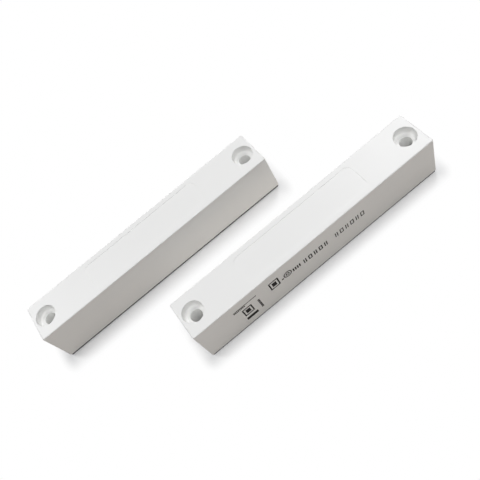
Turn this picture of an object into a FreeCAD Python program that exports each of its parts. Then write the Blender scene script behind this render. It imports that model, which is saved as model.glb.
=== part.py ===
import FreeCAD, Part

import os

import Sketcher

# A magnetic door contact in two halves: a switch bar for the frame and a magnet bar for the door.
# Each bar is a moulded shell, open at the back, with two long screw columns and a clip-in back plate.
# Millimetres. The switch bar lies along X with its back on Z = 0, and the origin is midway between
# its two screw holes. The magnet bar lies beside it, parallel, as a fitter would lay the two out.

SIZES = [
    ("bar_length", 102.0, "length of a bar at its foot"),
    ("bar_width", 16.0, "width of a bar at its foot"),
    ("bar_height", 19.0, "from the mounting surface to the top face"),
    ("draft_angle", 0.6, "draft of the moulded walls, in degrees"),
    ("corner_round", 0.5, "radius of the four upright corners"),
    ("edge_round", 0.4, "radius round the top face"),
    ("wall", 1.7, "side and end walls"),
    ("roof", 1.8, "wall under the top face"),
    ("rib", 1.2, "thin walls inside the shell"),
    ("screw_hole", 4.5, "clearance hole for a mounting screw"),
    ("head_pocket", 8.0, "diameter of the pocket for the screw head"),
    ("head_depth", 3.4, "depth of that pocket"),
    ("end_land", 1.25, "from the pocket's edge to the end of the bar, at the foot"),
    ("pocket_wall", 0.9, "wall round the head pocket, inside"),
    ("seat_floor", 1.5, "plastic under the screw head"),
    ("column_wall", 1.5, "wall round the screw hole, down to the mounting surface"),
    ("label_length", 51.0, "shallow panel in the top face"),
    ("label_width", 11.4, "width of that panel"),
    ("label_round", 2.3, "its corner radius"),
    ("label_depth", 0.12, "its depth"),
    ("plate_flange", 1.0, "edge of the back plate that shows under the shell"),
    ("plate_inset", 0.2, "how far that edge lies inside the shell's outline"),
    ("plate_rise", 1.8, "raised panel of the back plate, inside the shell"),
    ("plate_gap", 0.15, "clearance round the raised panel"),
    ("column_gap", 0.2, "clearance round a screw column in the back plate"),
    ("latch_spread", 60.0, "between the latches of one side"),
    ("latch_length", 6.0, "length of a latch"),
    ("latch_level", 0.8, "latch above the flange"),
    ("latch_height", 0.8, "height of a latch"),
    ("latch_bite", 0.5, "depth of the latch groove in the wall"),
    ("latch_gap", 0.1, "clearance round a latch in its groove"),
    ("entry_length", 12.0, "opening for the cable in the switch bar's back plate"),
    ("entry_width", 6.0, "its width"),
    ("entry_shift", 1.6, "from the bar's centre line to the opening's, towards the front"),
    ("entry_round", 1.0, "its corner radius"),
    ("glass_length", 20.0, "glass capsule of the reed switch"),
    ("glass_width", 2.8, "its outer diameter"),
    ("glass_wall", 0.4, "its wall"),
    ("glass_round", 0.7, "rounding of its two shoulders"),
    ("seal_length", 2.5, "glass fused to the lead at each end"),
    ("lead_width", 0.6, "diameter of a reed's lead"),
    ("blade_width", 1.4, "flattened blade of a reed"),
    ("blade_thickness", 0.25, "its thickness"),
    ("blade_overlap", 1.6, "the blades pass each other by this much"),
    ("blade_gap", 0.15, "open contact gap"),
    ("blade_root", 0.4, "length over which the lead meets its blade"),
    ("blade_round", 0.35, "corners of a blade's tip"),
    ("reed_room", 0.9, "from the capsule to the wall beside it"),
    ("reed_rib_room", 0.5, "from the capsule to the trough's rib"),
    ("trough_end_room", 3.5, "from the capsule's end to the trough's end"),
    ("trough_cover", 0.9, "trough wall beyond the capsule, towards the back"),
    ("notch_room", 0.3, "clearance of a lead in its notch"),
    ("fill_short", 0.4, "the compound stops this far short of the trough's edge"),
    ("boss_level", 10.0, "height of the terminal seats above the mounting surface"),
    ("terminal_length", 11.0, "terminal plate, along the bar"),
    ("terminal_width", 6.6, "terminal plate, across the bar"),
    ("terminal_thickness", 0.8, "its thickness"),
    ("terminal_end_room", 0.5, "from the trough to a terminal"),
    ("terminal_wall_room", 0.5, "from a terminal to the front wall"),
    ("tag_width", 4.0, "solder tag of a terminal"),
    ("tag_reach", 1.0, "tag past the lead's centre line"),
    ("stake_spread", 8.8, "between the two stakes that hold a terminal plate"),
    ("stake_width", 1.2, "diameter of a stake"),
    ("stake_proud", 0.4, "stake beyond the terminal plate"),
    ("clamp_side", 6.4, "square clamp washer"),
    ("clamp_thickness", 0.9, "its thickness"),
    ("clamp_round", 0.6, "its corner radius"),
    ("clamp_slack", 0.3, "its hole is larger than the screw by this much"),
    ("thread_width", 3.0, "terminal screw"),
    ("screw_reach", 6.0, "its length under the head"),
    ("screw_point", 0.4, "chamfer at its tip"),
    ("cap_width", 5.6, "its pan head"),
    ("cap_height", 2.0, "height of the head"),
    ("cap_round", 0.7, "rounding of the head"),
    ("slot_width", 0.8, "driver slot"),
    ("slot_depth", 1.0, "depth of the slot"),
    ("tip_gap", 0.2, "clearance round the screw in its boss"),
    ("tip_room", 0.7, "depth of the boss's bore beyond the screw"),
    ("solder_length", 3.0, "solder on the tag, along the lead"),
    ("solder_width", 2.0, "across the lead"),
    ("solder_height", 0.9, "above the tag"),
    ("lead_end", 0.6, "from the lead's end to the edge of the tag"),
    ("magnet_x", -43.45, "magnet bar's centre along the switch bar"),
    ("magnet_y", 37.7, "magnet bar's centre across from it"),
    ("magnet_length", 60.0, "bar magnet"),
    ("magnet_thickness", 5.0, "across the bar"),
    ("magnet_height", 9.0, "its height"),
    ("magnet_round", 0.5, "its edges"),
    ("magnet_wall_gap", 0.3, "from the magnet to the wall that faces the switch"),
    ("magnet_fit", 0.1, "clearance of the magnet in its cradle"),
    ("cradle_inset", 8.0, "from the magnet's end to a cradle rib"),
    ("fence_length", 6.0, "fence behind the magnet at each cradle rib"),
    ("fence_drop", 6.0, "fences and end stops reach this far down the magnet"),
    ("pad_thickness", 1.1, "foam pad under the magnet"),
    ("pad_length", 40.0, "its length"),
    ("pad_inset", 0.2, "the pad is narrower than the magnet by this much on each side"),
]

# What follows from those sizes, as expressions on the sheet.
SCREW_X = "(Sizes.bar_length / 2 - Sizes.end_land - Sizes.head_pocket / 2)"
SEAT_Z = "(Sizes.bar_height - Sizes.head_depth)"
CEILING_Z = "(Sizes.bar_height - Sizes.roof)"
INTO_ROOF_Z = "(Sizes.bar_height - Sizes.roof / 2)"
INSIDE_X = "(Sizes.bar_length / 2 - Sizes.wall)"
INSIDE_Y = "(Sizes.bar_width / 2 - Sizes.wall)"
INTO_WALL_Y = "(Sizes.bar_width / 2 - Sizes.wall / 2)"
COLUMN_WIDTH = "(Sizes.screw_hole + 2 * Sizes.column_wall)"
PLATE_TOP_Z = "(Sizes.plate_flange + Sizes.plate_rise)"
LATCH_Z = "(Sizes.plate_flange + Sizes.latch_level)"

REED_Y = f"({INSIDE_Y} - Sizes.reed_room - Sizes.glass_width / 2)"
REED_Z = "(Sizes.boss_level + Sizes.lead_width / 2)"
TROUGH_X = "(Sizes.glass_length / 2 + Sizes.trough_end_room)"
TROUGH_Y = f"({REED_Y} - Sizes.glass_width / 2 - Sizes.reed_rib_room)"
TROUGH_Z = f"({REED_Z} - Sizes.glass_width / 2 - Sizes.trough_cover)"
NOTCH_WIDTH = "(Sizes.lead_width + Sizes.notch_room)"
THROAT_X = "(Sizes.glass_length / 2 - Sizes.seal_length - Sizes.glass_wall)"

TERMINAL_X = f"({TROUGH_X} + Sizes.rib + Sizes.terminal_end_room + Sizes.terminal_length / 2)"
TERMINAL_Y = f"(-{INSIDE_Y} + Sizes.terminal_wall_room + Sizes.terminal_width / 2)"
TERMINAL_Z = "(Sizes.boss_level - Sizes.terminal_thickness)"
CLAMP_Z = f"({TERMINAL_Z} - Sizes.clamp_thickness)"
TERMINAL_EDGE_X = f"({TERMINAL_X} + Sizes.terminal_length / 2)"
TAG_EDGE_Y = f"({REED_Y} + Sizes.tag_reach)"
TIP_BORE = "(Sizes.thread_width + 2 * Sizes.tip_gap)"
TIP_BORE_DEPTH = (
    "(Sizes.screw_reach - Sizes.clamp_thickness - Sizes.terminal_thickness + Sizes.tip_room)"
)

MAGNET_FRONT_Y = f"(-{INSIDE_Y} + Sizes.magnet_wall_gap)"
MAGNET_MIDDLE_Y = f"({MAGNET_FRONT_Y} + Sizes.magnet_thickness / 2)"
MAGNET_BACK_Y = f"({MAGNET_FRONT_Y} + Sizes.magnet_thickness)"
MAGNET_Z = f"({PLATE_TOP_Z} + Sizes.pad_thickness)"
MAGNET_TOP_Z = f"({MAGNET_Z} + Sizes.magnet_height)"
CRADLE_X = "(Sizes.magnet_length / 2 - Sizes.cradle_inset)"
STOP_X = "(Sizes.magnet_length / 2 + Sizes.magnet_fit)"
FENCE_Y = f"({MAGNET_BACK_Y} + Sizes.magnet_fit)"
FENCE_Z = f"({MAGNET_TOP_Z} - Sizes.fence_drop)"

SWITCH_HALF = ("0", "0")
MAGNET_HALF = ("Sizes.magnet_x", "Sizes.magnet_y")

doc = FreeCAD.newDocument("door_contact")
sheet = doc.addObject("Spreadsheet::Sheet", "Sizes")
for row, (alias, value, meaning) in enumerate(SIZES, start=1):
    sheet.set(f"A{row}", meaning)
    sheet.set(f"B{row}", str(value))
    sheet.setAlias(f"B{row}", alias)
doc.recompute()

pieces = []
CLOSE = 0.001  # edges are told apart to this much, in millimetres


def place(piece, x="0", y="0", z="0"):
    """Binds a piece's place to expressions on the sheet."""
    for axis, expression in (("x", x), ("y", y), ("z", z)):
        if expression != "0":
            piece.setExpression(f"Placement.Base.{axis}", expression)


def new_body(label, half=SWITCH_HALF, x="0", y="0", z="0"):
    """Starts a piece of one half, with its own origin at x, y, z of that half."""
    body = doc.addObject("PartDesign::Body", label)
    body.Label = label
    across_x, across_y = half
    place(body, f"{across_x} + {x}", f"{across_y} + {y}", z)
    pieces.append(body)
    return body


def sketch_on(body, name, level="0", plane="XY_Plane"):
    """A sketch on one of the body's origin planes, moved along its normal to a level."""
    sketch = body.newObject("Sketcher::SketchObject", name)
    origin_plane = [item for item in body.Origin.OriginFeatures if item.Role == plane]
    sketch.AttachmentSupport = [(origin_plane[0], "")]
    sketch.MapMode = "FlatFace"
    if level != "0":
        sketch.setExpression("AttachmentOffset.Base.z", level)
    return sketch


def hold(sketch, kind, geometry, point, expression):
    """Holds one coordinate of a sketch point at the value of an expression."""
    value = float(sketch.evalExpression(expression))
    index = sketch.addConstraint(Sketcher.Constraint(kind, -1, 1, geometry, point, value))
    sketch.renameConstraint(index, f"held{index}")
    sketch.setExpression(f"Constraints.held{index}", expression)


def outline(sketch, points):
    """Adds a closed outline of straight lines through points given as expressions."""
    places = [
        FreeCAD.Vector(float(sketch.evalExpression(x)), float(sketch.evalExpression(y)), 0)
        for x, y in points
    ]
    first = sketch.GeometryCount
    count = len(places)
    for i in range(count):
        sketch.addGeometry(Part.LineSegment(places[i], places[(i + 1) % count]))
    for i in range(count):
        following = first + (i + 1) % count
        sketch.addConstraint(Sketcher.Constraint("Coincident", first + i, 2, following, 1))
    for i, (x, y) in enumerate(points):
        hold(sketch, "DistanceX", first + i, 1, x)
        hold(sketch, "DistanceY", first + i, 1, y)


def rectangle(sketch, x0, x1, y0, y1):
    outline(sketch, [(x0, y0), (x1, y0), (x1, y1), (x0, y1)])


def circle(sketch, x, y, diameter):
    """Adds a circle whose centre and diameter are expressions."""
    centre = FreeCAD.Vector(float(sketch.evalExpression(x)), float(sketch.evalExpression(y)), 0)
    radius = float(sketch.evalExpression(diameter)) / 2
    index = sketch.addGeometry(Part.Circle(centre, FreeCAD.Vector(0, 0, 1), radius))
    if x == "0" and y == "0":
        sketch.addConstraint(Sketcher.Constraint("Coincident", index, 3, -1, 1))
    else:
        hold(sketch, "DistanceX", index, 3, x)
        if y == "0":
            sketch.addConstraint(Sketcher.Constraint("PointOnObject", index, 3, -1))
        else:
            hold(sketch, "DistanceY", index, 3, y)
    constraint = sketch.addConstraint(Sketcher.Constraint("Diameter", index, 2 * radius))
    sketch.renameConstraint(constraint, f"across{constraint}")
    sketch.setExpression(f"Constraints.across{constraint}", diameter)


def pad(body, sketch, name, length, centred=False, taper=None):
    """Grows a sketch along its normal, or half to each side of it."""
    feature = body.newObject("PartDesign::Pad", name)
    feature.Profile = sketch
    feature.SideType = "Symmetric" if centred else "One side"
    feature.setExpression("Length", length)
    if taper:
        feature.setExpression("TaperAngle", taper)
    return feature


def pocket(body, sketch, name, depth, along_normal=False, centred=False, taper=None):
    """Cuts a sketch out of the body, and makes sure that it took something away."""
    doc.recompute()
    before = body.Shape.Volume
    feature = body.newObject("PartDesign::Pocket", name)
    feature.Profile = sketch
    feature.Reversed = along_normal
    feature.SideType = "Symmetric" if centred else "One side"
    feature.setExpression("Length", depth)
    if taper:
        feature.setExpression("TaperAngle", taper)
    doc.recompute()
    if not body.Shape.Volume < before:
        raise RuntimeError(f"{body.Label}: {name} cuts nothing")
    return feature


def round_edges(body, name, radius, chosen):
    """Rounds the edges of the body's last feature whose bounds pass a test."""
    doc.recompute()
    last = body.Tip
    numbered = enumerate(last.Shape.Edges, start=1)
    edges = [f"Edge{i}" for i, edge in numbered if chosen(edge.BoundBox)]
    feature = body.newObject("PartDesign::Fillet", name)
    feature.Base = (last, edges)
    feature.setExpression("Radius", radius)
    return feature


def size(expression):
    return float(sheet.evalExpression(expression))


def upright(length):
    """A test for edges that run along Z for a given length."""
    return lambda box: abs(box.ZLength - length) < CLOSE and box.XLength + box.YLength < length


def on_level(height):
    """A test for edges that lie flat at a given height."""
    return lambda box: abs(box.ZMin - height) < CLOSE and abs(box.ZMax - height) < CLOSE


def shell(label, half):
    """The moulded shell that both halves share: a drafted bar, hollow from the back."""
    body = new_body(label, half)
    foot = sketch_on(body, f"{label}_foot", "Sizes.plate_flange")
    foot_x = "Sizes.bar_length / 2"
    foot_y = "Sizes.bar_width / 2"
    rectangle(foot, f"-{foot_x}", foot_x, f"-{foot_y}", foot_y)
    rise = "Sizes.bar_height - Sizes.plate_flange"
    pad(body, foot, f"{label}_bar", rise, taper="-Sizes.draft_angle")
    round_edges(body, f"{label}_corners", "Sizes.corner_round", lambda box: box.ZLength > size(rise) / 2)
    round_edges(body, f"{label}_rim", "Sizes.edge_round", on_level(size("bar_height")))

    hollow = sketch_on(body, f"{label}_mouth", "Sizes.plate_flange")
    rectangle(hollow, f"-{INSIDE_X}", INSIDE_X, f"-{INSIDE_Y}", INSIDE_Y)
    depth = f"{CEILING_Z} - Sizes.plate_flange"
    pocket(body, hollow, f"{label}_hollow", depth, along_normal=True, taper="-Sizes.draft_angle")

    columns = sketch_on(body, f"{label}_column_rings")
    bosses = sketch_on(body, f"{label}_boss_rings", f"{SEAT_Z} - Sizes.seat_floor")
    for side in ("-", ""):
        circle(columns, side + SCREW_X, "0", COLUMN_WIDTH)
        circle(bosses, side + SCREW_X, "0", "Sizes.head_pocket + 2 * Sizes.pocket_wall")
    pad(body, columns, f"{label}_columns", SEAT_Z)
    pad(body, bosses, f"{label}_head_bosses", f"{INTO_ROOF_Z} - {SEAT_Z} + Sizes.seat_floor")

    grooves = sketch_on(body, f"{label}_groove_ends", plane="XZ_Plane")
    reach = "(Sizes.latch_length / 2 + Sizes.latch_gap)"
    for side in ("-", ""):
        middle = f"{side}Sizes.latch_spread / 2"
        rectangle(
            grooves,
            f"{middle} - {reach}",
            f"{middle} + {reach}",
            f"{LATCH_Z} - Sizes.latch_gap",
            f"{LATCH_Z} + Sizes.latch_height + Sizes.latch_gap",
        )
    pocket(body, grooves, f"{label}_grooves", f"2 * ({INSIDE_Y} + Sizes.latch_bite)", centred=True)

    panel = sketch_on(body, f"{label}_panel_edge", "Sizes.bar_height")
    panel_x = "Sizes.label_length / 2"
    panel_y = "Sizes.label_width / 2"
    rectangle(panel, f"-{panel_x}", panel_x, f"-{panel_y}", panel_y)
    pocket(body, panel, f"{label}_panel", "Sizes.label_depth")
    round_edges(body, f"{label}_panel_corners", "Sizes.label_round", upright(size("label_depth")))
    return body


def screw_holes(body):
    """Drills both mounting holes with their head pockets, from the top face to the surface."""
    centres = sketch_on(body, f"{body.Label}_screw_points", "Sizes.bar_height")
    for side in ("-", ""):
        circle(centres, side + SCREW_X, "0", "Sizes.screw_hole")
    doc.recompute()
    hole = body.newObject("PartDesign::Hole", f"{body.Label}_screw_holes")
    hole.Profile = centres
    hole.ThreadType = "None"
    hole.DepthType = "ThroughAll"
    hole.HoleCutType = "Counterbore"
    hole.HoleCutCustomValues = True
    hole.setExpression("Diameter", "Sizes.screw_hole")
    hole.setExpression("HoleCutDiameter", "Sizes.head_pocket")
    hole.setExpression("HoleCutDepth", "Sizes.head_depth")


def back_plate(label, half):
    """A plate whose flange closes the shell's mouth and whose raised panel latches inside it."""
    body = new_body(label, half)
    flange = sketch_on(body, f"{label}_flange_edge")
    edge_x = "(Sizes.bar_length / 2 - Sizes.plate_inset)"
    edge_y = "(Sizes.bar_width / 2 - Sizes.plate_inset)"
    rectangle(flange, f"-{edge_x}", edge_x, f"-{edge_y}", edge_y)
    pad(body, flange, f"{label}_flange", "Sizes.plate_flange")
    round_edges(body, f"{label}_corners", "Sizes.corner_round", upright(size("plate_flange")))

    panel = sketch_on(body, f"{label}_panel_edge", "Sizes.plate_flange / 2")
    panel_x = f"({INSIDE_X} - Sizes.plate_gap)"
    panel_y = f"({INSIDE_Y} - Sizes.plate_gap)"
    rectangle(panel, f"-{panel_x}", panel_x, f"-{panel_y}", panel_y)
    pad(body, panel, f"{label}_panel", f"{PLATE_TOP_Z} - Sizes.plate_flange / 2")

    latches = sketch_on(body, f"{label}_latch_ends", plane="XZ_Plane")
    for side in ("-", ""):
        middle = f"{side}Sizes.latch_spread / 2"
        rectangle(
            latches,
            f"{middle} - Sizes.latch_length / 2",
            f"{middle} + Sizes.latch_length / 2",
            LATCH_Z,
            f"{LATCH_Z} + Sizes.latch_height",
        )
    reach = f"2 * ({INSIDE_Y} + Sizes.latch_bite - Sizes.latch_gap)"
    pad(body, latches, f"{label}_latches", reach, centred=True)

    openings = sketch_on(body, f"{label}_column_holes")
    for side in ("-", ""):
        circle(openings, side + SCREW_X, "0", f"{COLUMN_WIDTH} + 2 * Sizes.column_gap")
    pocket(body, openings, f"{label}_column_clearance", PLATE_TOP_Z, along_normal=True)
    return body


def switch_housing():
    """The switch half's shell: trough for the reed, and a boss with two stakes for each terminal."""
    body = shell("switch_housing", SWITCH_HALF)

    trough = sketch_on(body, "trough_walls", TROUGH_Z)
    outer_x = f"({TROUGH_X} + Sizes.rib)"
    outer_y = f"({TROUGH_Y} - Sizes.rib)"
    outline(
        trough,
        [
            (f"-{outer_x}", INTO_WALL_Y),
            (f"-{outer_x}", outer_y),
            (outer_x, outer_y),
            (outer_x, INTO_WALL_Y),
            (TROUGH_X, INTO_WALL_Y),
            (TROUGH_X, TROUGH_Y),
            (f"-{TROUGH_X}", TROUGH_Y),
            (f"-{TROUGH_X}", INTO_WALL_Y),
        ],
    )
    pad(body, trough, "trough", f"{INTO_ROOF_Z} - {TROUGH_Z}")

    notch = sketch_on(body, "lead_notch", plane="YZ_Plane")
    rectangle(
        notch,
        f"{REED_Y} - {NOTCH_WIDTH} / 2",
        f"{REED_Y} + {NOTCH_WIDTH} / 2",
        f"{TROUGH_Z} - Sizes.rib",
        f"{REED_Z} + {NOTCH_WIDTH} / 2",
    )
    pocket(body, notch, "lead_notches", f"2 * ({outer_x} + Sizes.terminal_end_room / 2)", centred=True)

    seats = sketch_on(body, "boss_seats", "Sizes.boss_level")
    stakes = sketch_on(body, "stake_rings", f"{TERMINAL_Z} - Sizes.stake_proud")
    bores = sketch_on(body, "tip_rings", "Sizes.boss_level")
    for side in ("-", ""):
        middle = side + TERMINAL_X
        rectangle(
            seats,
            f"{middle} - Sizes.terminal_length / 2",
            f"{middle} + Sizes.terminal_length / 2",
            f"-{INTO_WALL_Y}",
            f"{TERMINAL_Y} + Sizes.terminal_width / 2",
        )
        for end in ("-", "+"):
            circle(stakes, f"{middle} {end} Sizes.stake_spread / 2", TERMINAL_Y, "Sizes.stake_width")
        circle(bores, middle, TERMINAL_Y, TIP_BORE)
    pad(body, seats, "terminal_bosses", f"{INTO_ROOF_Z} - Sizes.boss_level")
    pad(body, stakes, "stakes", "2 * Sizes.terminal_thickness + Sizes.stake_proud")
    pocket(body, bores, "tip_bores", TIP_BORE_DEPTH, along_normal=True)
    screw_holes(body)
    return body


def magnet_housing():
    """The magnet half's shell: cradle ribs, fences behind the magnet and a stop at each end of it."""
    body = shell("magnet_housing", MAGNET_HALF)
    ribs = sketch_on(body, "cradle_rib_feet", MAGNET_TOP_Z)
    fences = sketch_on(body, "fence_feet", FENCE_Z)
    for side in ("-", ""):
        middle = side + CRADLE_X
        rectangle(
            ribs, f"{middle} - Sizes.rib / 2", f"{middle} + Sizes.rib / 2", f"-{INTO_WALL_Y}", INTO_WALL_Y
        )
        rectangle(
            fences,
            f"{middle} - Sizes.fence_length / 2",
            f"{middle} + Sizes.fence_length / 2",
            FENCE_Y,
            f"{FENCE_Y} + Sizes.rib",
        )
    rectangle(fences, STOP_X, f"{STOP_X} + Sizes.rib", f"-{INTO_WALL_Y}", f"{FENCE_Y} + Sizes.rib")
    rectangle(fences, f"-{STOP_X} - Sizes.rib", f"-{STOP_X}", f"-{INTO_WALL_Y}", f"{FENCE_Y} + Sizes.rib")
    pad(body, ribs, "cradle_ribs", f"{INTO_ROOF_Z} - {MAGNET_TOP_Z}")
    pad(body, fences, "fences_and_stops", f"{INTO_ROOF_Z} - {FENCE_Z}")
    screw_holes(body)
    return body


def switch_back_plate():
    """The switch half's back plate has an opening for the cable under the terminals."""
    body = back_plate("switch_back_plate", SWITCH_HALF)
    entry = sketch_on(body, "entry_edge")
    rectangle(
        entry,
        "-Sizes.entry_length / 2",
        "Sizes.entry_length / 2",
        "-Sizes.entry_shift - Sizes.entry_width / 2",
        "-Sizes.entry_shift + Sizes.entry_width / 2",
    )
    pocket(body, entry, "cable_entry", PLATE_TOP_Z, along_normal=True)
    full = upright(size(PLATE_TOP_Z))
    inside = size("entry_length")
    round_edges(body, "entry_corners", "Sizes.entry_round", lambda box: full(box) and abs(box.XMin) < inside)
    return body


def turn_capsule(body, name, ends):
    """Turns the capsule's outline about the reed's axis, between the given end points."""
    section = sketch_on(body, f"{name}_section")
    end = "Sizes.glass_length / 2"
    shoulder = f"({end} - Sizes.glass_width / 2)"
    outside = "Sizes.glass_width / 2"
    neck = "(Sizes.lead_width / 2 + Sizes.glass_wall)"
    crown = [(f"-{end}", neck), (f"-{shoulder}", outside), (shoulder, outside), (end, neck)]
    outline(section, crown + ends)
    turned = body.newObject("PartDesign::Revolution", f"{name}_turned")
    turned.Profile = section
    turned.ReferenceAxis = (section, ["H_Axis"])
    turned.Angle = 360
    midway = size(f"{outside} + {neck}")
    rings = "Sizes.glass_round"
    round_edges(body, f"{name}_shoulders", rings, lambda box: box.XLength < CLOSE and box.YLength > midway)


def reed_capsule():
    """A glass tube, necked and fused to the lead at each end."""
    body = new_body("reed_capsule", y=REED_Y, z=REED_Z)
    end = "Sizes.glass_length / 2"
    seal = f"({end} - Sizes.seal_length)"
    lead = "Sizes.lead_width / 2"
    inside = "(Sizes.glass_width / 2 - Sizes.glass_wall)"
    bore = [(end, lead), (seal, lead), (THROAT_X, inside)]
    turn_capsule(body, "glass", bore + [(f"-{x}", y) for x, y in reversed(bore)])
    return body


def reed_blade(label, side, level):
    """One reed: a round lead soldered at the terminal and flattened to a blade inside the glass."""
    body = new_body(label, y=REED_Y, z=REED_Z)
    other = "" if side == "-" else "-"
    outer_end = f"({TERMINAL_EDGE_X} - Sizes.lead_end)"
    inner_end = f"({THROAT_X} - Sizes.blade_root)"
    start = f"-{outer_end}" if side == "-" else inner_end
    wire = sketch_on(body, f"{label}_wire", start, plane="YZ_Plane")
    circle(wire, "0", "0", "Sizes.lead_width")
    pad(body, wire, f"{label}_lead", f"{outer_end} - {inner_end}")

    middle = f"{level}(Sizes.blade_gap + Sizes.blade_thickness) / 2"
    flat = sketch_on(body, f"{label}_outline", f"{middle} - Sizes.blade_thickness / 2")
    near = side + THROAT_X
    tip = f"{other}Sizes.blade_overlap / 2"
    left, right = (near, tip) if side == "-" else (tip, near)
    rectangle(flat, left, right, "-Sizes.blade_width / 2", "Sizes.blade_width / 2")
    pad(body, flat, f"{label}_blade", "Sizes.blade_thickness")
    tip_x = size(tip)
    across = upright(size("blade_thickness"))
    at_tip = lambda box: across(box) and abs(box.XMin - tip_x) < CLOSE
    round_edges(body, f"{label}_tip", "Sizes.blade_round", at_tip)
    return body


def reed_potting(housing):
    """Sealing compound: it fills the trough round the capsule and takes the moulding's own form."""
    block = doc.addObject("PartDesign::Body", "potting_block")
    sketch = sketch_on(block, "potting_edge", f"{TROUGH_Z} + Sizes.fill_short")
    rectangle(sketch, f"-{TROUGH_X}", TROUGH_X, TROUGH_Y, INTO_WALL_Y)
    pad(block, sketch, "potting_fill", f"{INTO_ROOF_Z} - {TROUGH_Z} - Sizes.fill_short")

    capsule = doc.addObject("PartDesign::Body", "capsule_space")
    place(capsule, y=REED_Y, z=REED_Z)
    lead = "Sizes.lead_width / 2"
    way_out = [("Sizes.glass_length / 2", lead), (TROUGH_X, lead), (TROUGH_X, "0")]
    turn_capsule(capsule, "space", way_out + [(f"-{x}", y) for x, y in reversed(way_out)])

    trimmed = doc.addObject("Part::Cut", "potting_in_trough")
    trimmed.Base = block
    trimmed.Tool = housing
    potting = doc.addObject("Part::Cut", "reed_potting")
    potting.Base = trimmed
    potting.Tool = capsule
    potting.Label = "reed_potting"
    pieces.append(potting)


def terminal_plate(label, side):
    """A stamped brass plate on its boss: tapped for the screw, staked twice, with a solder tag."""
    body = new_body(label)
    blank = sketch_on(body, f"{label}_blank", TERMINAL_Z)
    middle = side + TERMINAL_X
    sign = -1 if side == "-" else 1
    inner = f"{middle} - {sign} * Sizes.terminal_length / 2"
    outer = f"{middle} + {sign} * Sizes.terminal_length / 2"
    tag = f"{outer} - {sign} * Sizes.tag_width"
    low = f"{TERMINAL_Y} - Sizes.terminal_width / 2"
    high = f"{TERMINAL_Y} + Sizes.terminal_width / 2"
    outline(
        blank, [(inner, low), (outer, low), (outer, TAG_EDGE_Y), (tag, TAG_EDGE_Y), (tag, high), (inner, high)]
    )
    circle(blank, middle, TERMINAL_Y, "Sizes.thread_width")
    for end in ("-", "+"):
        circle(blank, f"{middle} {end} Sizes.stake_spread / 2", TERMINAL_Y, "Sizes.stake_width")
    pad(body, blank, f"{label}_stamping", "Sizes.terminal_thickness")
    return body


def clamp_washer(label, side):
    """A square steel washer under the screw head that presses the wire on the plate."""
    body = new_body(label, x=side + TERMINAL_X, y=TERMINAL_Y, z=CLAMP_Z)
    square = sketch_on(body, f"{label}_edge")
    half_side = "Sizes.clamp_side / 2"
    rectangle(square, f"-{half_side}", half_side, f"-{half_side}", half_side)
    pad(body, square, f"{label}_plate", "Sizes.clamp_thickness")
    round_edges(body, f"{label}_corners", "Sizes.clamp_round", upright(size("clamp_thickness")))
    ring = sketch_on(body, f"{label}_ring")
    circle(ring, "0", "0", "Sizes.thread_width + Sizes.clamp_slack")
    pocket(body, ring, f"{label}_hole", "Sizes.clamp_thickness", along_normal=True)
    return body


def terminal_screw(label, side):
    """A pan-head screw, head towards the back plate, turned in one piece and slotted."""
    body = new_body(label, x=side + TERMINAL_X, y=TERMINAL_Y, z=CLAMP_Z)
    section = sketch_on(body, f"{label}_section", plane="XZ_Plane")
    head = "Sizes.cap_width / 2"
    shank = "Sizes.thread_width / 2"
    outline(
        section,
        [
            ("0", "-Sizes.cap_height"),
            (head, "-Sizes.cap_height"),
            (head, "0"),
            (shank, "0"),
            (shank, "Sizes.screw_reach - Sizes.screw_point"),
            (f"{shank} - Sizes.screw_point", "Sizes.screw_reach"),
            ("0", "Sizes.screw_reach"),
        ],
    )
    turned = body.newObject("PartDesign::Revolution", f"{label}_turned")
    turned.Profile = section
    turned.ReferenceAxis = (section, ["V_Axis"])
    turned.Angle = 360
    round_edges(body, f"{label}_crown", "Sizes.cap_round", on_level(-size("cap_height")))
    slot = sketch_on(body, f"{label}_slot_edge", "-Sizes.cap_height")
    half_slot = "Sizes.slot_width / 2"
    rectangle(slot, "-Sizes.cap_width", "Sizes.cap_width", f"-{half_slot}", half_slot)
    pocket(body, slot, f"{label}_slot", "Sizes.slot_depth", along_normal=True)
    return body


def solder_joint(label, side, lead):
    """A low dome of solder on the tag, run round the lead."""
    dome = doc.addObject("Part::Ellipsoid", f"{label}_dome")
    dome.setExpression("Radius1", "Sizes.solder_height")
    dome.setExpression("Radius2", "Sizes.solder_length / 2")
    dome.setExpression("Radius3", "Sizes.solder_width / 2")
    dome.Angle1 = 0
    seam_outwards = 180 if side == "-" else 0
    dome.Placement.Rotation = FreeCAD.Rotation(FreeCAD.Vector(0, 0, 1), seam_outwards)
    place(dome, side + f"({TERMINAL_EDGE_X} - Sizes.tag_width / 2)", REED_Y, "Sizes.boss_level")
    joint = doc.addObject("Part::Cut", label)
    joint.Base = dome
    joint.Tool = lead
    joint.Label = label
    pieces.append(joint)


def bar_magnet():
    """A pressed bar magnet against the cradle ribs, near the wall that faces the switch."""
    body = new_body("bar_magnet", MAGNET_HALF, y=MAGNET_MIDDLE_Y, z=MAGNET_Z)
    section = sketch_on(body, "magnet_foot")
    half_length = "Sizes.magnet_length / 2"
    half_thickness = "Sizes.magnet_thickness / 2"
    rectangle(section, f"-{half_length}", half_length, f"-{half_thickness}", half_thickness)
    pad(body, section, "magnet_block", "Sizes.magnet_height")
    round_edges(body, "magnet_corners", "Sizes.magnet_round", upright(size("magnet_height")))
    return body


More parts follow.
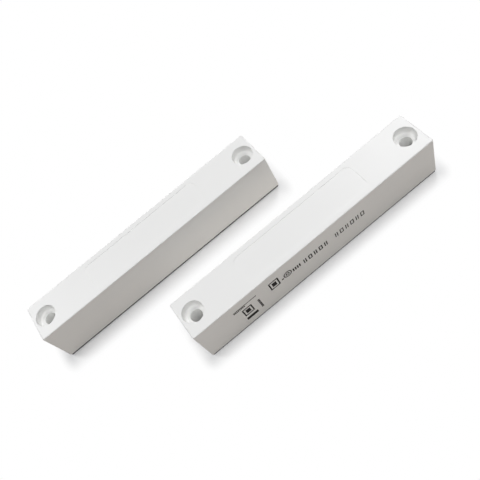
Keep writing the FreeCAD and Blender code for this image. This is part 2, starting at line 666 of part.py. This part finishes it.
def magnet_pad():
    """A foam strip between the magnet and the back plate that keeps the magnet from rattling."""
    body = new_body("magnet_pad", MAGNET_HALF, y=MAGNET_MIDDLE_Y, z=PLATE_TOP_Z)
    strip = sketch_on(body, "pad_edge")
    half_width = "(Sizes.magnet_thickness / 2 - Sizes.pad_inset)"
    rectangle(strip, "-Sizes.pad_length / 2", "Sizes.pad_length / 2", f"-{half_width}", half_width)
    pad(body, strip, "pad_strip", "Sizes.pad_thickness")
    return body


switch_shell = switch_housing()
switch_back_plate()
reed_capsule()
leads = {
    "left": reed_blade("reed_blade_left", "-", "+"),
    "right": reed_blade("reed_blade_right", "", "-"),
}
reed_potting(switch_shell)
for hand, direction in (("left", "-"), ("right", "")):
    terminal_plate(f"terminal_plate_{hand}", direction)
    clamp_washer(f"clamp_washer_{hand}", direction)
    terminal_screw(f"terminal_screw_{hand}", direction)
    solder_joint(f"solder_joint_{hand}", direction, leads[hand])

magnet_housing()
back_plate("magnet_back_plate", MAGNET_HALF)
bar_magnet()
magnet_pad()

doc.recompute()
for item in doc.Objects:
    if "Invalid" in item.State or "Error" in item.State:
        raise RuntimeError(f"{item.Label} failed: {item.State}")
for piece in pieces:
    if piece.Shape.isNull() or not piece.Shape.isValid() or len(piece.Shape.Solids) != 1:
        raise RuntimeError(f"{piece.Label} is not one sound solid")

os.makedirs("parts", exist_ok=True)
for piece in pieces:
    piece.Shape.exportStep(f"parts/{piece.Label}.step")
    box = piece.Shape.optimalBoundingBox(True, False)
    print(
        f"{piece.Label}: {piece.Shape.Volume:.1f} mm3, X {box.XMin:.2f} to {box.XMax:.2f}, "
        f"Y {box.YMin:.2f} to {box.YMax:.2f}, Z {box.ZMin:.2f} to {box.ZMax:.2f}"
    )
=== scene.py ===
import math

import bmesh
import bpy
from mathutils import Matrix, Vector


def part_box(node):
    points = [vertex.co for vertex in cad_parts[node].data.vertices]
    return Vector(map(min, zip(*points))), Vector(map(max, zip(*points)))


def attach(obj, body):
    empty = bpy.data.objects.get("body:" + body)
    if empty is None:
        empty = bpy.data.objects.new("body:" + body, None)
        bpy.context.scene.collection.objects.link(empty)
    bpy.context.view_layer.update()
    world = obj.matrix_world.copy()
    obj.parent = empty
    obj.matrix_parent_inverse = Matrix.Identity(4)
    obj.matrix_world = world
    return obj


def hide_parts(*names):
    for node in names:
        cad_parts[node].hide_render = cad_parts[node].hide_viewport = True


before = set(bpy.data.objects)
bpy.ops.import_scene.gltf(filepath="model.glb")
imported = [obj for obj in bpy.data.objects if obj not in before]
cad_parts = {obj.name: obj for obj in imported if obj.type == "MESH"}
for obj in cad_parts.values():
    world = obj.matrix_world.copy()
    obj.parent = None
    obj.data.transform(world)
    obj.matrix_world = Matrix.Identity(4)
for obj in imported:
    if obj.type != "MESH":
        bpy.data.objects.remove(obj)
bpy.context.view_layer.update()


# The shells of both halves: white ABS, injection moulded with a slight draft and open at the back.
# A pocket and a through hole near each end take the mounting screws. The tool was spark eroded to
# a fine satin, and every outside edge came out a little rounded.


def linear(hex_colour):
    """An sRGB hex colour as the linear RGBA that a shader takes."""
    channels = [int(hex_colour[i:i + 2], 16) / 255 for i in (1, 3, 5)]
    return [c / 12.92 if c <= 0.04045 else ((c + 0.055) / 1.055) ** 2.4 for c in channels] + [1.0]


def add_node(tree, kind, inputs=None, **settings):
    """Adds a node. Each input is a value, or the output socket of another node."""
    made = tree.nodes.new(kind)
    for name, value in settings.items():
        setattr(made, name, value)
    for socket, value in (inputs or {}).items():
        if isinstance(value, bpy.types.NodeSocket):
            tree.links.new(value, made.inputs[socket])
        else:
            made.inputs[socket].default_value = value
    return made


def make_material(
    name, light, dark, patch, grain, height, gloss, stretch=(1, 1, 1), **surface
):
    """A material of slow patches, which shift its tone and gloss, and a raised grain.

    The patches and the grain are given by their spacing and the grain by its height, in
    millimetres. Stretch lengthens both along the axes where it is over 1.
    """
    material = bpy.data.materials.new(name)
    material.use_nodes = True
    tree = material.node_tree
    tree.nodes.clear()
    place = add_node(tree, "ShaderNodeTexCoord").outputs["Object"]
    place = add_node(
        tree, "ShaderNodeMapping", {"Vector": place, "Scale": [1 / axis for axis in stretch]}
    ).outputs[0]
    patches = add_node(
        tree, "ShaderNodeTexNoise", {"Vector": place, "Scale": 1000 / patch, "Detail": 2.0}
    ).outputs["Fac"]
    tone = add_node(
        tree,
        "ShaderNodeMix",
        {"Factor": patches, 6: linear(light), 7: linear(dark)},
        data_type="RGBA",
    )
    sheen = add_node(
        tree,
        "ShaderNodeMapRange",
        {"Value": patches, "To Min": gloss * 0.92, "To Max": gloss * 1.08},
    )
    grains = add_node(
        tree, "ShaderNodeTexNoise", {"Vector": place, "Scale": 1000 / grain, "Detail": 3.0}
    ).outputs["Fac"]
    bump = add_node(
        tree,
        "ShaderNodeBump",
        {"Height": grains, "Strength": 1.0, "Distance": height / 1000},
    )
    body = add_node(
        tree,
        "ShaderNodeBsdfPrincipled",
        {
            "Base Color": tone.outputs[2],
            "Roughness": sheen.outputs[0],
            "Normal": bump.outputs[0],
            **surface,
        },
    )
    add_node(tree, "ShaderNodeOutputMaterial", {"Surface": body.outputs[0]})
    return material


def merged_copy(node):
    """The CAD piece as one bmesh: its loose triangles are joined and its flats are whole faces."""
    form = bmesh.new()
    form.from_mesh(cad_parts[node].data)
    bmesh.ops.remove_doubles(form, verts=form.verts, dist=1e-7)
    bmesh.ops.dissolve_limit(
        form, angle_limit=math.radians(0.2), verts=form.verts, edges=form.edges
    )
    return form


def add_piece(name, form, material, smooth_to=30, instead_of=None):
    """Makes an object of a bmesh, which rides on the body and takes a material.

    It is shaded smooth over turns of up to so many degrees, and may stand in for a CAD node.
    """
    mesh = bpy.data.meshes.new(name)
    form.to_mesh(mesh)
    form.free()
    mesh.shade_smooth()
    mesh.set_sharp_from_angle(angle=math.radians(smooth_to))
    mesh.materials.append(material)
    piece = bpy.data.objects.new(name, mesh)
    bpy.context.scene.collection.objects.link(piece)
    even = piece.modifiers.new("even_shading", "WEIGHTED_NORMAL")
    even.keep_sharp = True
    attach(piece, "root")
    if instead_of:
        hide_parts(instead_of)
    return piece


# White ABS to the eye: so white that its pockets fill with light, nearly flat in tone, with slow
# clouds where the melt met. The eroded grain is near 0.05 mm. It is drawn at 0.3 mm so that it
# shows at all.
shell_abs = make_material(
    "white_abs_satin",
    "#F7F7F5",
    "#F4F4F2",
    patch=14,
    grain=0.3,
    height=0.002,
    gloss=0.4,
    IOR=1.53,
)
# The outside edges and the pockets' rims are barely eased. Each pocket's floor runs up into its
# wall in a fillet, which leaves the moulding's pin strong at its tip.
rim_ease = 0.00012
pocket_fillet = 0.0009
pocket_depth = 0.0034

for half in ("switch", "magnet"):
    node = f"{half}_housing"
    low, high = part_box(node)
    form = merged_copy(node)
    rims, pocket_corners = [], []
    for edge in form.edges:
        if not edge.is_manifold or edge.calc_face_angle() < math.radians(40):
            continue
        heights = [vertex.co.z for vertex in edge.verts]
        deepest = min(vertex.co.z for face in edge.link_faces for vertex in face.verts)
        if min(heights) > high.z - 1e-5 and deepest < high.z - 0.001:
            rims.append(edge)
        elif not edge.is_convex and all(abs(high.z - z - pocket_depth) < 1e-5 for z in heights):
            pocket_corners.append(edge)
    for edges, offset in ((pocket_corners, pocket_fillet), (rims, rim_ease)):
        bmesh.ops.bevel(
            form,
            geom=edges,
            offset=offset,
            offset_type="OFFSET",
            affect="EDGES",
            segments=4,
            profile=0.5,
            material=-1,
            clamp_overlap=True,
        )
    add_piece(f"{half}_shell", form, shell_abs, instead_of=node)


# The print on the switch half's front face: dark ink on the bare plastic. It stands where such a
# product carries its markings, and holds only plain rules, frames, rings and ticks.

# Pad-printed ink to the eye: flat, dull and nearly black, a little paler where it lies thin.
ink = make_material(
    "printing_ink",
    "#121110",
    "#242220",
    patch=0.8,
    grain=0.2,
    height=0.002,
    gloss=0.75,
    **{"Specular IOR Level": 0.15},
)
ink_film = 0.00003
# The shell's faces lean in by the draft from its foot upwards, and the ink follows them.
draft = math.tan(math.radians(0.6))
shell_foot = 0.001
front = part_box("switch_housing")[0].y


def print_bar(form, x, z, length, height):
    """A solid bar of ink centred at x, z of the front face."""
    size = Matrix.Diagonal((length, ink_film, height, 1))
    bmesh.ops.create_cube(form, size=1, matrix=Matrix.Translation((x, front, z)) @ size)


def print_frame(form, x, z, length, height, line):
    """An open rectangle of ink lines: a sheet as large is inset by the line and given the film."""
    upright = Matrix.Rotation(math.radians(90), 4, "X") @ Matrix.Diagonal((length, height, 1, 1))
    place = Matrix.Translation((x, front - ink_film / 2, z)) @ upright
    sheet = bmesh.ops.create_grid(form, x_segments=1, y_segments=1, size=0.5, matrix=place)
    middle = sheet["verts"][0].link_faces[0]
    lines = bmesh.ops.inset_region(
        form, faces=[middle], thickness=line, use_even_offset=True, use_boundary=True
    )
    bmesh.ops.delete(form, geom=[middle], context="FACES")
    bmesh.ops.solidify(form, geom=lines["faces"], thickness=ink_film)


def print_ring(form, x, z, diameter, line):
    """A ring of ink: the line's section spun round its centre."""
    middle = (diameter - line) / 2
    corners = [
        form.verts.new((x + middle + across * line / 2, front + out * ink_film / 2, z))
        for across, out in ((-1, -1), (1, -1), (1, 1), (-1, 1))
    ]
    section = [form.edges.new((corners[i], corners[(i + 1) % 4])) for i in range(4)]
    bmesh.ops.spin(
        form,
        geom=corners + section,
        cent=(x, 0, z),
        axis=(0, 1, 0),
        angle=math.tau,
        steps=32,
        use_merge=True,
    )


marks = bmesh.new()
# At the left: a rule over a row of ticks, a frame round a block over a thick bar, and a ladder of
# short bars. The second frame is the same.
print_bar(marks, -0.0312, 0.0146, 0.0098, 0.0003)
for i in range(8):
    print_bar(marks, -0.0358 + i * 0.0006, 0.0139, 0.0004, 0.0008)
print_bar(marks, -0.0312, 0.0052, 0.0048, 0.0016)
for i in range(9):
    print_bar(marks, -0.0266, 0.0055 + i * 0.0007, 0.0008, 0.0005)
for x, z in ((-0.0314, 0.0098), (-0.0192, 0.0124)):
    print_frame(marks, x, z, 0.004, 0.0048, 0.0005)
    print_bar(marks, x, z, 0.0018, 0.0024)
# Next to the second frame: a dot, two rings and four ticks.
print_bar(marks, -0.0159, 0.0112, 0.0007, 0.0007)
print_ring(marks, -0.0136, 0.012, 0.0034, 0.0004)
print_ring(marks, -0.0136, 0.012, 0.0016, 0.0004)
for i in range(4):
    print_bar(marks, -0.0112 + i * 0.0009, 0.0115, 0.0005, 0.0019)
# To the right: two groups of paired strokes and small frames by turns.
for start, count, line in ((-0.0062, 5, 0.00042), (0.0075, 6, 0.00034)):
    for i in range(count):
        centre = start + i * 0.00225
        if i % 2:
            print_frame(marks, centre, 0.0113, 0.0015, 0.0025, line)
        else:
            print_bar(marks, centre - 0.0004, 0.0113, line, 0.0025)
            print_bar(marks, centre + 0.0004, 0.0113, line, 0.0025)
for vertex in marks.verts:
    vertex.co.y += (vertex.co.z - shell_foot) * draft - ink_film / 2
bmesh.ops.recalc_face_normals(marks, faces=marks.faces)
add_piece("switch_print", marks, ink)


# The reed switch: a glass tube drawn from stock, with a reed fused into each end. It lies in a
# trough under the roof of the switch half, and the compound poured round it holds it there.

# Capsule glass to the eye: clear with a green cast, from the iron that lets a lamp's heat fuse it.
glass = make_material(
    "capsule_glass",
    "#DDEFE2",
    "#D2E8D8",
    patch=6,
    grain=1.5,
    height=0.001,
    gloss=0.04,
    IOR=1.51,
    **{"Transmission Weight": 1.0},
)
# Drawn nickel-iron wire to the eye: a soft grey-yellow metal with fine lines along its length.
# The drawing lines are near 0.01 mm apart and are drawn at 0.06 mm.
reed_wire = make_material(
    "drawn_nickel_iron",
    "#B7B1A6",
    "#A29C92",
    patch=1.5,
    grain=0.06,
    height=0.001,
    gloss=0.3,
    stretch=(25, 1, 1),
    Metallic=1.0,
)
# Cast epoxy to the eye: cream, smooth and faintly cloudy where it wetted the walls.
epoxy = make_material(
    "cast_epoxy",
    "#D6CFBA",
    "#C9C1A9",
    patch=4,
    grain=1.2,
    height=0.01,
    gloss=0.3,
    IOR=1.55,
    **{
        "Subsurface Weight": 0.3,
        "Subsurface Radius": (1.0, 0.8, 0.5),
        "Subsurface Scale": 0.001,
    },
)
for node, name, material, slot in (
    ("reed_capsule", "switch_capsule", glass, "capsule_glass"),
    ("reed_blade_left", "reed_left", reed_wire, "reed_alloy"),
    ("reed_blade_right", "reed_right", reed_wire, "reed_alloy"),
    ("reed_potting", "trough_compound", epoxy, "sealing_compound"),
):
    add_piece(name, merged_copy(node), material, instead_of=node)


# The terminals: stamped brass plates staked on their bosses, a reed's lead soldered to the tag of
# each, and a square steel washer that its screw presses on the wire.

# Rolled brass to the eye: warm yellow with fine rolling lines along the strip, dulled a little in
# slow patches. The lines are near 0.02 mm apart and are drawn at 0.12 mm.
brass = make_material(
    "rolled_brass",
    "#D9BC74",
    "#C4A25A",
    patch=3,
    grain=0.12,
    height=0.002,
    gloss=0.28,
    stretch=(20, 1, 1),
    Metallic=1.0,
)
# Tin solder to the eye: bright, wetted and slightly rippled as it froze.
tin = make_material(
    "tin_solder",
    "#CDD0D2",
    "#B4B7BA",
    patch=0.8,
    grain=0.5,
    height=0.02,
    gloss=0.22,
    Metallic=1.0,
)
# Zinc plate to the eye: a cool pale metal, clouded by its passivation, with a faint crystal grain.
zinc = make_material(
    "zinc_plated_steel",
    "#C3C7CB",
    "#AEB0A8",
    patch=2,
    grain=0.15,
    height=0.002,
    gloss=0.33,
    Metallic=1.0,
)
for hand in ("left", "right"):
    for node, name, material, slot in (
        (f"terminal_plate_{hand}", f"wire_terminal_{hand}", brass, "terminal_brass"),
        (f"solder_joint_{hand}", f"lead_solder_{hand}", tin, "solder"),
        (f"clamp_washer_{hand}", f"wire_washer_{hand}", zinc, "plated_steel"),
    ):
        add_piece(name, merged_copy(node), material, instead_of=node)


# The terminal screws: M3 pan heads of zinc plated steel, cold headed and slotted, with a rolled
# thread. They hold the wires, and a screwdriver reaches them once the back plate is off.

thread_pitch = 0.0005
thread_crest = 0.0015
thread_root = thread_crest - 0.61 * thread_pitch
head_height = 0.002
screw_point = 0.0004
steps_per_turn = 24

for hand in ("left", "right"):
    node = f"terminal_screw_{hand}"
    low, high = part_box(node)
    axis = Vector(((low.x + high.x) / 2, (low.y + high.y) / 2, 0))
    under_head = low.z + head_height
    form = merged_copy(node)
    # The CAD shank is as wide as the thread's crest, so it shrinks to the root.
    for vertex in form.verts:
        out = vertex.co.xy - axis.xy
        if vertex.co.z > under_head - 1e-6 and out.length < thread_crest + 1e-5:
            vertex.co.xy = axis.xy + out * thread_root / thread_crest
    # One flank section, its foot sunk a little into the shank, is swept up as a helix.
    start = under_head + 0.5 * thread_pitch
    turns = (high.z - screw_point - start) / thread_pitch - 1
    sunk = thread_root - 0.00003
    corners = [
        form.verts.new((axis.x + radius, axis.y, start + rise * thread_pitch))
        for radius, rise in (
            (sunk, -0.45),
            (thread_crest, -0.08),
            (thread_crest, 0.08),
            (sunk, 0.45),
        )
    ]
    section = [form.edges.new((corners[i], corners[(i + 1) % 4])) for i in range(4)]
    steps = round(turns * steps_per_turn)
    bmesh.ops.spin(
        form,
        geom=corners + section,
        cent=axis,
        axis=(0, 0, 1),
        dvec=(0, 0, turns * thread_pitch / steps),
        angle=turns * math.tau,
        steps=steps,
    )
    ends = [edge for edge in form.edges if edge.is_boundary]
    bmesh.ops.holes_fill(form, edges=ends, sides=4)
    bmesh.ops.recalc_face_normals(form, faces=form.faces)
    add_piece(f"wire_screw_{hand}", form, zinc, instead_of=node)


# The magnet half's inside: a sintered bar magnet, ground on its flats and pushed into the cradle
# ribs, and the foam strip that keeps it from rattling on the back plate.

# Ground ferrite to the eye: a matt charcoal with grinding lines along the bar and pores between
# the grains. The pores are near 0.02 mm and are drawn at 0.2 mm.
ferrite = make_material(
    "ground_ferrite",
    "#48484B",
    "#37373A",
    patch=5,
    grain=0.2,
    height=0.006,
    gloss=0.5,
    stretch=(6, 1, 1),
    IOR=2.2,
)
# Foam to the eye: nearly black and quite without shine, open cells near 0.5 mm across.
foam = make_material(
    "polyurethane_foam",
    "#343436",
    "#222224",
    patch=0.6,
    grain=0.5,
    height=0.2,
    gloss=0.92,
    IOR=1.5,
)
add_piece(
    "ferrite_bar", merged_copy("bar_magnet"), ferrite, instead_of="bar_magnet"
)
add_piece("anti_rattle_strip", merged_copy("magnet_pad"), foam, instead_of="magnet_pad")


# The back plates: ABS from a plain tool, coloured dark grey. Each clips into its shell, and its
# dark grey is painted shade, which makes the dark line along the foot.

# Dark ABS to the eye: a matt charcoal, painted shade for the line along the foot, with a coarser
# grain than the shells. The grain is near 0.1 mm and is drawn at 0.4 mm.
shade_painted_plate_abs = make_material(
    "dark_abs_painted_shade",
    "#454547",
    "#3C3C3E",
    patch=6,
    grain=0.4,
    height=0.01,
    gloss=0.55,
    IOR=1.53,
)
# Each plate takes the dark grey that paints the shade along the bar's foot.
for half in ("switch", "magnet"):
    node = f"{half}_back_plate"
    add_piece(
        f"{half}_base_plate", merged_copy(node), shade_painted_plate_abs, instead_of=node
    )


# The floor and the light: a sheet of warm white paper under four round soft boxes, as such small
# goods are photographed. The camera sees the paper lit nearly white, with the bars' shadows, and
# painted light fades those shadows to white some millimetres from the bars' feet.

floor_form = bmesh.new()
bmesh.ops.create_grid(floor_form, x_segments=1, y_segments=1, size=2)
floor_mesh = bpy.data.meshes.new("floor")
floor_form.to_mesh(floor_mesh)
floor_form.free()
floor = bpy.data.objects.new("floor", floor_mesh)
bpy.context.scene.collection.objects.link(floor)


def picture_rays(tree):
    """1 for the rays that show the set: the camera's, mirrored ones and those through glass."""
    ray = add_node(tree, "ShaderNodeLightPath").outputs
    shown = ray["Is Camera Ray"]
    for other in (ray["Is Glossy Ray"], ray["Is Transmission Ray"]):
        either = add_node(tree, "ShaderNodeMath", {0: shown, 1: other}, operation="MAXIMUM")
        shown = either.outputs[0]
    return shown


# White paper to the eye: matt and even. The lamps light only a part of it fully, so the paper that
# the bars see is painted a warm pale grey for that shade, and the camera sees it white.
table = bpy.data.materials.new("white_paper")
table.use_nodes = True
tree = table.node_tree
tree.nodes.clear()
paper = add_node(tree, "ShaderNodeBsdfDiffuse", {"Color": linear("#C5BBB0")})
exposed = add_node(tree, "ShaderNodeBsdfDiffuse", {"Color": (0.953, 0.96, 0.96, 1.0)})
white = add_node(tree, "ShaderNodeEmission", {"Strength": 1.0})
# Painted light: the camera's paper is mixed into plain white by the distance from each bar's foot,
# so the shadows fade out some millimetres away, sooner past the bars' ends and sooner beside the
# switch half, where a least share of white paints the whole shadow lighter.
fades = []
for half, start, reach, least, past_ends in (
    ("switch", 0.0003, 0.0062, 0.14, 1.15),
    ("magnet", 0.0, 0.0083, 0.0, 1.6),
):
    low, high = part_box(f"{half}_housing")
    offset = add_node(tree, "ShaderNodeNewGeometry").outputs["Position"]
    for operation, by in (
        ("SUBTRACT", ((low.x + high.x) / 2, (low.y + high.y) / 2, 0)),
        ("ABSOLUTE", (0, 0, 0)),
        ("SUBTRACT", ((high.x - low.x) / 2, (high.y - low.y) / 2, 0)),
        ("MAXIMUM", (0, 0, 0)),
        ("MULTIPLY", (past_ends, 1, 0)),
    ):
        offset = add_node(
            tree, "ShaderNodeVectorMath", {0: offset, 1: by}, operation=operation
        ).outputs[0]
    distance = add_node(tree, "ShaderNodeVectorMath", {0: offset}, operation="LENGTH")
    fade = add_node(
        tree,
        "ShaderNodeMapRange",
        {
            "Value": distance.outputs["Value"],
            "From Min": start,
            "From Max": reach,
            "To Min": least,
        },
        interpolation_type="SMOOTHSTEP",
    )
    fades.append(fade.outputs[0])
# The painted whitening of the floor is the lesser of the two halves' fades.
painted_whitening = add_node(tree, "ShaderNodeMath", {0: fades[0], 1: fades[1]}, operation="MINIMUM")
shown = add_node(
    tree,
    "ShaderNodeMixShader",
    {0: painted_whitening.outputs[0], 1: exposed.outputs[0], 2: white.outputs[0]},
)
surface = add_node(
    tree, "ShaderNodeMixShader", {0: picture_rays(tree), 1: paper.outputs[0], 2: shown.outputs[0]}
)
add_node(tree, "ShaderNodeOutputMaterial", {"Surface": surface.outputs[0]})
floor_mesh.materials.append(table)

# The room is dark, so that the bars are lit by the lamps. Gloss and glass show it as white.
world = bpy.data.worlds.new("studio")
bpy.context.scene.world = world
world.use_nodes = True
tree = world.node_tree
tree.nodes.clear()
strength = add_node(
    tree, "ShaderNodeMapRange", {"Value": picture_rays(tree), "To Min": 0.02, "To Max": 1.0}
)
sky = add_node(
    tree,
    "ShaderNodeBackground",
    {"Color": (1.0, 1.0, 1.0, 1.0), "Strength": strength.outputs[0]},
)
add_node(tree, "ShaderNodeOutputWorld", {"Surface": sky.outputs[0]})


# All four stand round the middle of the pair, as far away and as large.
middle_of_pair = Vector((-0.02, 0.02, 0))
lamp_distance = 0.8
lamp_diameter = 0.25


def soft_box(name, azimuth, elevation, share):
    """A round lamp. Alone it would light a flat white card to the given share of white."""
    flat, up = math.radians(azimuth), math.radians(elevation)
    towards = Vector((math.cos(up) * math.cos(flat), math.cos(up) * math.sin(flat), math.sin(up)))
    lamp = bpy.data.lights.new(name, "AREA")
    lamp.shape = "DISK"
    lamp.size = lamp_diameter
    lamp.color = (0.985, 0.987, 1.0)
    lamp.energy = share * (math.pi * lamp_distance) ** 2 / math.sin(up)
    box = bpy.data.objects.new(name, lamp)
    box.location = middle_of_pair + towards * lamp_distance
    box.rotation_euler = (-towards).to_track_quat("-Z", "Y").to_euler()
    bpy.context.scene.collection.objects.link(box)


soft_box("front", 270, 62, 0.35)
soft_box("back_right", 45, 45, 0.218)
soft_box("back_left", 135, 45, 0.199)
soft_box("right", 0, 45, 0.075)


# The camera: above the front of the pair and turned about its own axis, so that the bars rise
# from lower left to upper right.

lens = bpy.data.cameras.new("camera")
lens.lens = 44.38
lens.sensor_width = 36
lens.clip_start = 0.01
camera = bpy.data.objects.new("camera", lens)
camera.location = (-0.0262, -0.09735, 0.18805)
aim = Vector((-0.01813, 0.01594, 0.0095))
level = (aim - camera.location).to_track_quat("-Z", "Y").to_matrix()
camera.rotation_euler = (level @ Matrix.Rotation(math.radians(-36.04), 3, "Z")).to_euler()
bpy.context.scene.collection.objects.link(camera)
bpy.context.scene.camera = camera

bpy.context.scene.view_settings.view_transform = "Standard"
